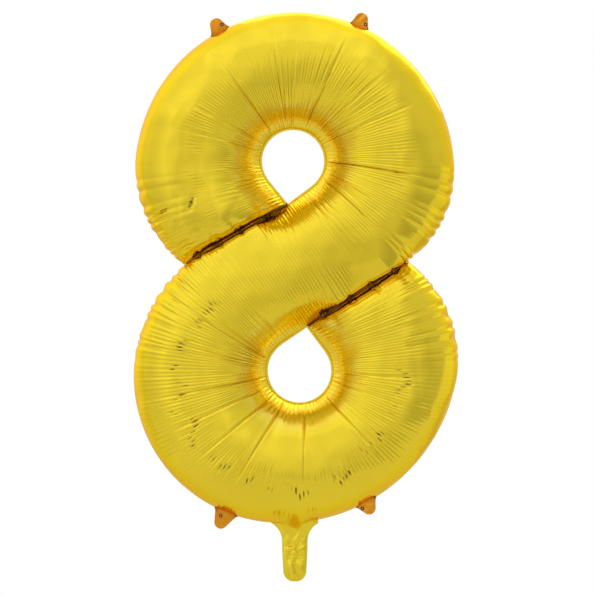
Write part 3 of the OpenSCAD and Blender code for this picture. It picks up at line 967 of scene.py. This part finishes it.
def sheet_piece(name, skin, side):
    """A thin closed shell: the crinkled outer skin and a plain inner one, joined at the rims."""
    outer = skin.points()
    rows, columns = outer.shape[:2]
    inner_rows = np.arange(0, rows, INNER_STEP)
    inner = skin.inner_points(inner_rows)
    m = inner.shape[1]
    start = rows * columns
    faces = [grid_faces(rows, columns).tolist(), grid_faces(len(inner), m, start, True).tolist()]
    for column, inner_column, turned in ((0, 0, False), (columns - 1, m - 1, True)):
        outer_rim = np.arange(rows) * columns + column
        inner_rim = np.arange(len(inner)) * m + inner_column + start
        faces.append(stitch(outer_rim, inner_rim, INNER_STEP, turned))
    for row, inner_row, turned in ((0, 0, True), (rows - 1, len(inner) - 1, False)):
        outer_rim = row * columns + np.arange(columns)
        inner_rim = inner_row * m + np.arange(m) + start
        faces.append(stitch(outer_rim, inner_rim, INNER_ACROSS, turned))
    points = np.concatenate([outer.reshape(-1, 3), inner.reshape(-1, 3)])
    every = [f for group in faces for f in group]
    if side < 0:
        points = points * [1, -1, 1]
        every = [f[::-1] for f in every]
    piece = new_mesh(name, points, every)
    sheet_marks(piece, skin, start)
    return piece


def stitch(outer_rim, inner_rim, step, turned):
    """Faces between a fine rim and a coarse one that has a point for every step of it."""
    faces = []
    for i in range(len(inner_rim) - 1):
        low, high = int(inner_rim[i]), int(inner_rim[i + 1])
        fine = [int(v) for v in outer_rim[i * step:(i + 1) * step + 1]]
        half = len(fine) // 2
        faces += [[low, fine[n + 1], fine[n]] for n in range(half)]
        faces += [[high, fine[n + 1], fine[n]] for n in range(half, len(fine) - 1)]
        faces.append([low, high, fine[half]])
    return [f[::-1] for f in faces] if turned else faces


def sheet_marks(piece, skin, start):
    """The sheet's flat coordinates as a UV map, where its pleats lie, where painted shade darkens its
    creases and where a paler painted light lies by its eyes.
    """
    mesh = piece.data
    count = len(mesh.vertices)
    flat = np.zeros((count, 2))
    width = np.linalg.norm(skin.b - skin.a, axis=1)[:, None] * HALF_GIRTH * skin.t
    flat[:start, 0] = (skin.run + 0 * skin.t).ravel() * MM
    flat[:start, 1] = width.ravel() * MM
    loops = np.zeros(len(mesh.loops), dtype=np.int64)
    mesh.loops.foreach_get("vertex_index", loops)
    mesh.uv_layers.new(name="sheet").data.foreach_set("uv", flat[loops].ravel())
    # The second mark is painted crease shade, the third is painted light beside the eyes.
    for mark, share in (("pleats", skin.pleat_band()), ("scorch", skin.marks()),
                        ("eye", skin.by_eye())):
        values = np.zeros(count)
        values[:start] = share.ravel()
        mesh.attributes.new(mark, "FLOAT", "POINT").data.foreach_set("value", values)


class FoilSeams(bpy.types.Operator):
    """Builds the flat welded seams: outside, round both eyes and at the waist"""

    bl_idname = "foil.seams"
    bl_label = "Welded seams"

    def execute(self, context):
        look = finish()
        foil = metallised("seam_foil", look.gold, look.deep_gold, 0.14, 0.0002)
        n = SEAM_ROWS
        outer_a, outer_b = seam_edges(0, 0, n)
        inner_a, inner_b = seam_edges(shape().rim / MM + SEAM_LIP, shape().eye_rim / MM + SEAM_LIP,
                                      n)
        over, under = slice(0, A_NOTCH * n), slice(B_NOTCH * n, N_STEPS * n)
        out_ring = np.concatenate([outer_a[over], outer_b[under][::-1]])
        in_ring = np.concatenate([inner_a[over], inner_b[under][::-1]])
        k = np.arange(N_STEPS * n) / n
        waves = [gather(k[over], "a"), gather(k[under][::-1], "b")]
        lift = np.concatenate([(wave - GATHER_LEVEL) * amount for wave, amount in waves])
        seam = ribbon("seam_outer", in_ring, out_ring, SEAM_WAVE * lift, True)
        dress(seam, foil, "balloon", "seam_foil", "outer_seam")
        round_up, round_lo = slice(0, B_TIP * n), slice(A_TIP * n, N_STEPS * n)
        for name, inner, outer, stands in (
                ("seam_upper_eye", inner_b[round_up], outer_b[round_up], "upper_eye_seam"),
                ("seam_lower_eye", inner_a[round_lo], outer_a[round_lo], "lower_eye_seam")):
            run = np.arange(len(inner)) / n
            seam = ribbon(name, inner, outer, EYE_SEAM_WAVE * wander(8, run, 1.7), True)
            dress(seam, foil, "balloon", "seam_foil", stands)
        # The waist welds are painted dark brown as shade, standing for the shadow deep in the groove
        # between the tubes.
        groove_shade_foil = metallised("weld_painted_shade", look.weld_brown, look.weld_brown, 0.4, 0.0002)
        self.weld("weld_upper_waist", LEFT_NOTCH, outer_b[0], groove_shade_foil, "upper_waist_weld")
        self.weld("weld_lower_waist", RIGHT_NOTCH, outer_a[A_TIP * n], groove_shade_foil,
                  "lower_waist_weld")
        declare_sheets()
        return {"FINISHED"}

    def weld(self, name, start, end, foil, stands):
        """A straight waist weld, from just inside its notch to the point of its eye."""
        along = start + (end - start) * np.linspace(0.02, 1.0, WELD_POINTS)[:, None]
        side = left_of(unit(end - start)) * (shape().weld / MM / 2 + SEAM_LIP)
        flat = np.zeros(WELD_POINTS)
        weld = ribbon(name, along - side, along + side, flat, False, columns=3)
        dress(weld, foil, "balloon", "seam_foil", stands)


def declare_sheets():
    """Gathers the seam and weld pieces for each sheet, and records nothing."""
    seams = [piece for piece in bpy.data.objects if piece.name.startswith(("seam_", "weld_"))]
    for name, bands in (("foil_front_sheet", seams), ("foil_back_sheet", [])):
        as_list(bands)


def seam_edges(rim, eye_rim, fine):
    """The outline's edges, scalloped as the sheets are."""
    a, b = tube_edges(rim, eye_rim, 0, fine)
    return scalloped(a, b, fine, shape().scallop / MM)


# The filling tail in millimetres: heights of its top, its fold, its lower crease and its end, half
# its width, how much it narrows, its corners, and the flare that spreads it into the figure
TAIL_TOP, TAIL_FOLD, TAIL_CREASE, TAIL_END = -368.0, -417.0, -441, -480.0
TAIL_HALF, TAIL_TAPER, TAIL_CORNER = 21.5, 2.4, 17.0
FLARE_R, FLARE_Z, FLARE_MOST = 34.0, -412.0, 18
# The tail's crumples: height, heading and wavelength, and the heights between which they lie with how
# softly they end
TAIL_CRUMPLES = [(0.35, 4, 7, (-444, -416, 5)), (0.8, 58, 15, (-424, -396, 8)),
                 (0.6, -48, 14, (-462, -432, 8)), (1.4, 80, 17, (-474, -380, 10))]
TAIL_ROWS, TAIL_COLUMNS = 150, 60
# Where a layer's outer and inner face start off the middle plane, and the inner one's share of relief
TAIL_OUTER, TAIL_INNER, TAIL_INNER_SHARE = 0.35, 0.1, 0.9


def tail_half_width(z):
    """Half the width of neck and tail at a height: flared into the figure, round at the end."""
    rise = np.clip(z - FLARE_Z, 0, 0.98 * FLARE_R)
    flare = FLARE_R - np.sqrt(FLARE_R ** 2 - rise ** 2)
    drop = np.clip(TAIL_END + TAIL_CORNER - z, 0, TAIL_CORNER)
    corner = TAIL_CORNER - np.sqrt(np.maximum(TAIL_CORNER ** 2 - drop ** 2, 0))
    taper = TAIL_TAPER * (1 - smoothstep(TAIL_END + 4, TAIL_FOLD, z))
    return TAIL_HALF - taper + np.minimum(flare, FLARE_MOST) - corner


def crumple(seed, x, z, heading, wave):
    """Flat facets between sharp creases that run at a heading and wander a little."""
    c, s = math.cos(math.radians(heading)), math.sin(math.radians(heading))
    across = -x * s + z * c + 0.22 * wave * wander(seed, x * c + z * s, 2.6 * wave)
    fold = across / wave + 0.3 * wander(seed + 1, across, 4 * wave)
    return 1 - 2 * np.abs(2 * (fold - np.floor(fold)) - 1)


def tail_relief(u, z, seed):
    """How far the layer stands off its flat weld: limp, creased and pinched at the fold."""
    inside = np.clip(1 - (np.abs(u) / 0.9) ** 2.6, 0, 1) ** 0.7
    body = smoothstep(TAIL_END + 1, TAIL_END + 14, z)
    pinch = np.exp(-((z - TAIL_FOLD) / 5) ** 2) + 0.8 * np.exp(-((z - TAIL_CREASE) / 5) ** 2)
    neck = smoothstep(-410, -372, z)
    x = u * TAIL_HALF
    level = (3.2 + 9 * neck ** 1.3) * (1 - 0.55 * np.clip(pinch, 0, 1))
    for number, (height, heading, wave, span) in enumerate(TAIL_CRUMPLES):
        folds = crumple(seed + 2 * number, x, z, heading, wave)
        level = level + height * folds * window(*span, z)
    edge = np.clip(1 - np.abs(u), 0, 1) ** 0.4
    return np.maximum(level, 0) * inside * body + 0.5 * edge


class FoilTail(bpy.types.Operator):
    """Builds the filling neck and tail, limp and creased, pinched at the fold"""

    bl_idname = "foil.tail"
    bl_label = "Filling tail"

    def execute(self, context):
        look = finish()
        foil = metallised("tail_foil", look.gold, look.deep_gold, 0.12, 0.0002)
        for name, side, seed, nodes in (
                ("foil_tail_front", -1, 4, ("neck_front_layer", "tail_front_layer")),
                ("foil_tail_back", 1, 7, ("neck_back_layer", "tail_back_layer"))):
            piece = self.layer(name, side, seed)
            piece.data.materials.append(foil)
            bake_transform(piece)
            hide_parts(*nodes)
        return {"FINISHED"}

    def layer(self, name, side, seed):
        """One side's neck and tail as a thin closed sheet, a little off the middle plane."""
        z = np.linspace(TAIL_TOP, TAIL_END, TAIL_ROWS)[:, None]
        u = np.linspace(-1, 1, TAIL_COLUMNS)[None, :]
        x = NECK_X + u * tail_half_width(z)
        relief = tail_relief(u + 0 * z, z + 0 * u, seed)
        outer = np.stack([x, side * (TAIL_OUTER + relief), z + 0 * x], -1)
        inner = np.stack([x, side * (TAIL_INNER + TAIL_INNER_SHARE * relief), z + 0 * x], -1)
        ring = np.concatenate([outer, inner[:, ::-1]], axis=1)
        piece = new_mesh(name, ring * MM, ring_faces(TAIL_ROWS, 2 * TAIL_COLUMNS))
        outward(piece)
        return piece


# Hanging tabs: angle on the outline's arc, the arc's centre and radius, width, length, sideways
# lean of the tip, and the punched hole's place across and outwards from the middle of the root
Tab = namedtuple("Tab", "angle centre radius width length lean hole")
TABS = {"top_left": Tab(118, TOP_C, TOP_R, 31.0, 22.0, 0.0, (8.5, 7.0)),
        "top_right": Tab(66, TOP_C, TOP_R, 30.1, 21.6, -2.0, (8.0, 5.5)),
        "bottom_left": Tab(248.1, LOW_LEFT_C, LOW_LEFT_R, 37.2, 28.6, 1.5, (6.0, 7.0)),
        "bottom_right": Tab(298, LOW_C, LOW_R, 34.1, 20.2, 0.0, (10.5, 4.5))}
# The gap between a tab's root and the outline, the radii of its tip and its hole, and its grid
TAB_GAP, TAB_TIP_R, EYELET_R = 1.0, 11.0, 2.0
TAB_ROWS, TAB_COLUMNS, TAB_HALF_THICKNESS = 46, 40, 0.14
# Where a tab starts, hidden under the seam, and how much longer that makes its run than its length
TAB_START, TAB_EXTRA = -3.0, 2.97
# The melted ring: how far outside the hole it runs, how thick it is and how flat
EYELET_OUT, EYELET_THICK, EYELET_FLAT = 0.35, 1.75, 0.5
# How far the tabs' tips curl back, and how high their waves and crumples are
TAB_CURL, TAB_ROLL, TAB_CRUMPLE = 4.0, 1.2, 0.9


class FoilTabs(bpy.types.Operator):
    """Builds the four hanging tabs, slightly curled, each with a punched hole"""

    bl_idname = "foil.tabs"
    bl_label = "Hanging tabs"

    def execute(self, context):
        look = finish()
        # The tabs' foil darkens their roots, edges and holes with painted shade.
        foil = metallised("tab_foil", look.tab_gold, look.tab_deep, 0.22, 0.0003, coat=0.08,
                          scorch=look.tab_brown)
        for number, (place, tab) in enumerate(TABS.items()):
            piece = self.sheet(place, tab)
            self.punch(piece, tab.hole)
            self.curl(piece, number, tab)
            piece.data.materials.clear()
            piece.data.materials.append(foil)
            start, end = (polar(tab.centre, tab.radius + out, tab.angle) * MM
                          for out in (0.2, 1.4))
            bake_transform(piece)
            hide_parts("tab_" + place)
        return {"FINISHED"}

    def sheet(self, place, tab):
        """The flat tab with its root at the origin: across is X, outwards is Z."""
        tip = np.array([tab.lean, tab.length - TAB_TIP_R])
        share = np.linspace(0, 1, TAB_ROWS)
        v = TAB_START + (tab.length + TAB_EXTRA) * np.sin(0.5 * np.pi * share)
        left, right = (self.side(side, v, tab.width / 2, tip) for side in (-1, 1))
        across = np.linspace(0, 1, TAB_COLUMNS)
        u = left[:, None] + (right - left)[:, None] * across[None, :]
        plate = np.stack([u, np.full_like(u, -TAB_HALF_THICKNESS), v[:, None] + 0 * u], -1)
        under = plate[:, ::-1] * [1, -1, 1]
        ring = np.concatenate([plate, under], axis=1)
        piece = new_mesh("foil_tab_" + place, ring * MM, ring_faces(TAB_ROWS, 2 * TAB_COLUMNS))
        outward(piece)
        return piece

    def side(self, side, v, half, tip):
        """The tab's edge at heights v: a slack fillet, a straight flank and the round tip."""
        corner = np.array([side * half, 0.0])
        away = np.linalg.norm(corner - tip)
        touch = math.radians(angle_of(tip, corner)) + side * math.acos(TAB_TIP_R / away)
        touch = tip + TAB_TIP_R * np.array([math.cos(touch), math.sin(touch)])
        flank = corner[0] + (touch[0] - corner[0]) * v / touch[1]
        rounded = tip[0] + side * np.sqrt(np.maximum(TAB_TIP_R ** 2 - (v - tip[1]) ** 2, 0))
        fillet = side * 2.2 * np.clip(1 - (v + 3) / 6, 0, 1) ** 2
        return np.where(v < touch[1], flank, rounded) + fillet

    def punch(self, piece, hole):
        """Cuts the hanging hole and lays its melted ring round it."""
        deselect()
        place = (hole[0] * MM, 0, hole[1] * MM)
        turn = (math.radians(90), 0, 0)
        bpy.ops.mesh.primitive_cylinder_add(vertices=24, radius=EYELET_R * MM, depth=0.004,
                                            location=place, rotation=turn)
        cutter = bpy.context.object
        deselect()
        activate(piece)
        cut = piece.modifiers.new("punch", "BOOLEAN")
        cut.object, cut.operation, cut.solver = cutter, "DIFFERENCE", "EXACT"
        bpy.ops.object.modifier_apply(modifier=cut.name)
        bpy.data.objects.remove(cutter)
        bpy.ops.mesh.primitive_torus_add(major_radius=(EYELET_R + EYELET_OUT) * MM,
                                         minor_radius=EYELET_THICK * MM, major_segments=32,
                                         minor_segments=8, location=place, rotation=turn)
        bpy.context.object.data.transform(Matrix.Diagonal((1, 1, EYELET_FLAT, 1)))
        bpy.ops.object.transform_apply(location=True, rotation=True, scale=True)
        activate(piece)
        bpy.ops.object.join()

    def curl(self, piece, number, tab):
        """Curls the tab, darkens its root, its edges and the ring round its hole with painted shade,
        and stands it on the outline.
        """
        mesh = piece.data
        flat = np.zeros(len(mesh.vertices) * 3)
        mesh.vertices.foreach_get("co", flat)
        flat = flat.reshape(-1, 3) / MM
        u, v = flat[:, 0], flat[:, 2]
        out = np.clip(v / tab.length, 0, 1)
        roll = wander(40 + number, u, 24) * TAB_ROLL * out
        fold = TAB_CRUMPLE * crumple(50 + number, u, v, 65 + 12 * number, 13)
        fold = fold * smoothstep(0, 0.5, out)
        y = flat[:, 1] - 0.7 + TAB_CURL * out ** 2 + roll + fold
        root = polar(tab.centre, tab.radius + TAB_GAP, tab.angle)
        turn = math.radians(tab.angle)
        outwards = np.array([math.cos(turn), math.sin(turn)])
        along = np.array([outwards[1], -outwards[0]])
        plan = root + u[:, None] * along + v[:, None] * outwards
        placed = np.stack([plan[:, 0], y, plan[:, 1]], -1) * MM
        mesh.vertices.foreach_set("co", placed.ravel())
        # Painted shade: the colour darkens round the hole, towards the root and towards the side
        # edges.
        away = np.hypot(u - tab.hole[0], v - tab.hole[1])
        edges = 0.3 * (1 - smoothstep(1, 7, v)) + 0.3 * np.abs(2 * u / tab.width) ** 4
        scorch = np.maximum(1 - smoothstep(EYELET_R + 0.5, EYELET_R + 2.2, away), edges)
        mesh.attributes.new("scorch", "FLOAT", "POINT").data.foreach_set("value", scorch)
        mesh.update()
        outward(piece)


def deselect():
    """Leaves edit mode and selects nothing."""
    if bpy.context.object and bpy.context.object.mode != "OBJECT":
        bpy.ops.object.mode_set(mode="OBJECT")
    bpy.ops.object.select_all(action="DESELECT")


def activate(piece):
    piece.select_set(True)
    bpy.context.view_layer.objects.active = piece


class FoilValve(bpy.types.Operator):
    """Gives the two valve films inside the neck their clear finish"""

    bl_idname = "foil.valve"
    bl_label = "Valve films"

    def execute(self, context):
        film = clear_film("valve_film")
        for node in ("valve_front_film", "valve_back_film"):
            mesh = frame["nodes"][node].data
            mesh.materials.clear()
            mesh.materials.append(film)
        return {"FINISHED"}


# How bright the room is from its left side (0) to its right side (1)
ROOM = [(place, (level, level, level, 1)) for place, level in
        ((0.0, 0.75), (0.12, 1.0), (0.22, 1.08), (0.32, 0.9), (0.43, 1.02), (0.52, 0.9),
         (0.62, 1.04), (0.74, 0.84), (0.88, 0.7), (1.0, 0.8))]
CAMERA_X, CAMERA_AWAY, CAMERA_Z = 0.0017, 4.6, -0.0042
SENSOR, FRAME_HEIGHT = 36, 1.0074
FLOOR_Z, FLOOR_R = -0.8, 1.4
# Softboxes: name, place, width and height, watts
LIGHTS = [("top_softbox", (0.1, -0.5, 3.0), (4.6, 3.0), 5),
          ("left_strip", (-2.4, -0.6, 0.3), (3.0, 3.2), 4),
          ("right_strip", (2.3, 0.8, -0.8), (1.6, 2.4), 3),
          ("back_softbox", (0.6, 2.6, 1.8), (2.4, 1.6), 16)]


class FoilStage(bpy.types.Operator):
    """Sets the camera, the soft studio light and the pale floor"""

    bl_idname = "foil.stage"
    bl_label = "Stage"

    def execute(self, context):
        self.camera()
        self.floor()
        self.world()
        for softbox in LIGHTS:
            self.light(*softbox)
        return {"FINISHED"}

    def camera(self):
        lens = bpy.data.cameras.new("camera")
        camera = bpy.data.objects.new("camera", lens)
        bpy.context.scene.collection.objects.link(camera)
        camera.location = (CAMERA_X, -CAMERA_AWAY, CAMERA_Z)
        camera.rotation_euler = (math.radians(90), 0, 0)
        lens.sensor_width = SENSOR
        lens.lens = SENSOR * CAMERA_AWAY / FRAME_HEIGHT
        bpy.context.scene.camera = camera

    def floor(self):
        deselect()
        bpy.ops.mesh.primitive_circle_add(vertices=96, radius=FLOOR_R, fill_type="NGON",
                                          location=(0, 0, FLOOR_Z))
        floor = bpy.context.object
        floor.name = "floor"
        s = Shader(bpy.data.materials.new("pale_floor"))
        place = s.add("ShaderNodeTexCoord", out=3)
        cloud = s.add("ShaderNodeTexNoise", {}, {"Vector": place, "Scale": 2.0})
        s.set(Base_Color=s.mix_colour(cloud, (0.74, 0.74, 0.73, 1), (0.70, 0.70, 0.70, 1)),
              Roughness=0.9)
        floor.data.materials.append(s.owner)
        floor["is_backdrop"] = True

    def world(self):
        """White to the camera; to the foil a soft room, brighter overhead and behind."""
        s = Shader(bpy.data.worlds.new("studio"))
        bpy.context.scene.world = s.owner
        s.nodes.clear()
        place = s.add("ShaderNodeTexCoord")
        x, y, z = (s.add("ShaderNodeSeparateXYZ", {}, {"Vector": place}, n) for n in range(3))
        across = s.add("ShaderNodeValToRGB", {"stops": ROOM}, {"Fac": x * 0.5 + 0.5})
        behind = s.ramp(y, 0.1, 0.85) * s.ramp(z, -0.7, 0.1) * 0.3
        level = (s.ramp(z, -0.6, 0.7) * 0.42 + 0.78) * across + behind
        room = s.add("ShaderNodeBackground", {}, {"Strength": level})
        white = s.add("ShaderNodeBackground", {}, {"Color": (1, 1, 1, 1)})
        seen = s.add("ShaderNodeLightPath")
        mixed = s.add("ShaderNodeMixShader", {}, {0: seen, 1: room, 2: white})
        s.add("ShaderNodeOutputWorld", {}, {"Surface": mixed})

    def light(self, name, place, size, power):
        """A softbox that faces the balloon and that the camera doesn't see."""
        lamp = bpy.data.lights.new(name, "AREA")
        lamp.shape = "RECTANGLE"
        lamp.size, lamp.size_y = size
        lamp.energy = power
        light = bpy.data.objects.new(name, lamp)
        bpy.context.scene.collection.objects.link(light)
        light.location = place
        light.visible_camera = False
        light.rotation_euler = (-Vector(place)).to_track_quat("-Z", "Y").to_euler()


class FoilPanel(bpy.types.Panel):
    """Lists the balloon's building steps"""

    bl_idname = "VIEW3D_PT_foil_balloon"
    bl_label = "Foil Balloon"
    bl_space_type = "VIEW_3D"
    bl_region_type = "UI"
    bl_category = "Foil Balloon"

    def draw(self, context):
        for operator in OPERATORS:
            self.layout.operator(operator.bl_idname)


OPERATORS = (FoilStage, FoilSheets, FoilSeams, FoilTail, FoilTabs, FoilValve)
CLASSES = (FoilShape, FoilFinish, *OPERATORS, FoilPanel)


def register():
    for cls in CLASSES:
        bpy.utils.register_class(cls)
    bpy.types.Scene.foil_shape = bpy.props.PointerProperty(type=FoilShape)
    bpy.types.Scene.foil_finish = bpy.props.PointerProperty(type=FoilFinish)


def unregister():
    del bpy.types.Scene.foil_finish
    del bpy.types.Scene.foil_shape
    for cls in reversed(CLASSES):
        bpy.utils.unregister_class(cls)


def main():
    register()
    for operator in OPERATORS:
        group, name = operator.bl_idname.split(".")
        getattr(getattr(bpy.ops, group), name)()
    bpy.context.scene.view_settings.view_transform = "Standard"
    boxes = {"cad": CAD_BOUNDS, "visual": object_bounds()}
    plain = {key: [[round(float(v), 6) for v in corner] for corner in box]
             for key, box in boxes.items()}


if __name__ == "__main__":
    main()
